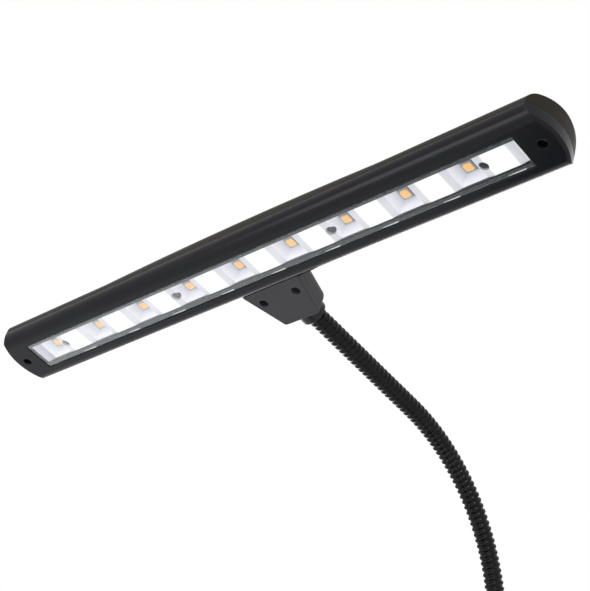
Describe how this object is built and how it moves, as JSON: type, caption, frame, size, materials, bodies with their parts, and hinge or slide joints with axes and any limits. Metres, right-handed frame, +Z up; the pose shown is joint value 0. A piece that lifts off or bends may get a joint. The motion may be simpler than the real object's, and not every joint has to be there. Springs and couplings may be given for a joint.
{
  "type": "piano lamp",
  "caption": "Slim bar lamp for a piano: a row of warm lights behind a clear window, held by a tapered bracket on a flexible arm over a heavy round foot with a push switch.",
  "frame": {"origin": "middle of the underside of the foot, on the table", "axes": "+Z up, X along the lamp head, -Y towards the piano's music, where the light falls"},
  "size_m": [0.308, 0.2049, 0.3619],
  "materials": {
    "head_black": "satin",
    "bracket_black": "matte",
    "lens_clear": "gloss",
    "frame_black": "satin",
    "reflector_white": "satin",
    "board_white": "satin",
    "spreader_aluminium": "satin",
    "led_white": "satin",
    "phosphor_amber": "satin",
    "screw_black": "satin",
    "screw_steel": "satin",
    "lead_black": "matte",
    "fitting_steel": "satin",
    "collar_black": "satin",
    "arm_black": "gloss",
    "foot_black": "satin",
    "pad_rubber": "matte",
    "plate_steel": "satin",
    "weight_iron": "matte",
    "button_black": "satin",
    "switch_plastic": "satin",
    "board_green": "satin"
  },
  "bodies": {
    "base": {"base_cover": "foot_black", "base_pad": "pad_rubber", "base_plate": "plate_steel", "base_weight": "weight_iron", "base_screws": "screw_steel", "arm_foot_sleeve": "collar_black", "arm_foot_nut": "fitting_steel", "switch_body": "switch_plastic", "control_board": "board_green", "board_spacers": "fitting_steel", "control_screws": "screw_steel", "supply_socket": "switch_plastic", "supply_lead": "lead_black", "foot_lead": "lead_black", "arm_section_1": "arm_black", "arm_lead_1": "lead_black"},
    "button": {"switch_button": "button_black", "switch_plunger": "switch_plastic"},
    "arm_lower": {"arm_section_2": "arm_black", "arm_lead_2": "lead_black"},
    "arm_middle": {"arm_section_3": "arm_black", "arm_lead_3": "lead_black"},
    "arm_upper": {"arm_section_4": "arm_black", "arm_lead_4": "lead_black"},
    "head": {"arm_section_5": "arm_black", "arm_lead_5": "lead_black", "arm_collar": "collar_black", "arm_end_fitting": "fitting_steel", "bracket_front": "bracket_black", "bracket_rear": "bracket_black", "bracket_screws": "screw_black", "hanger_screws": "screw_black", "head_lead": "lead_black", "front_bezel": "head_black", "rear_housing": "head_black", "window_lens": "lens_clear", "lens_frame": "frame_black", "reflector_strip": "reflector_white", "led_board": "board_white", "heat_spreader": "spreader_aluminium", "led_packages": "led_white", "led_phosphors": "phosphor_amber", "reflector_screws": "screw_black", "end_screws": "screw_black"}
  },
  "joints": [
    {"name": "arm_lean", "type": "hinge", "parent": "base", "child": "arm_lower", "pos_m": [0, 0.048, 0.073], "axis": [0, 1, 0], "range_deg": [-30, 30]},
    {"name": "arm_lower_bend", "type": "hinge", "parent": "arm_lower", "child": "arm_middle", "pos_m": [0, 0.048, 0.133], "axis": [1, 0, 0], "range_deg": [-30, 30]},
    {"name": "arm_middle_bend", "type": "hinge", "parent": "arm_middle", "child": "arm_upper", "pos_m": [0, 0.03257, 0.27839], "axis": [1, 0, 0], "range_deg": [-35, 35]},
    {"name": "arm_upper_bend", "type": "hinge", "parent": "arm_upper", "child": "head", "pos_m": [0, -0.0307, 0.32046], "axis": [1, 0, 0], "range_deg": [-35, 35]},
    {"name": "switch_press", "type": "slide", "parent": "base", "child": "button", "axis": [0, 0, -1], "range_m": [0, 0.0012], "stiffness_N_per_m": 400, "springref_m": -0.003}
  ]
}
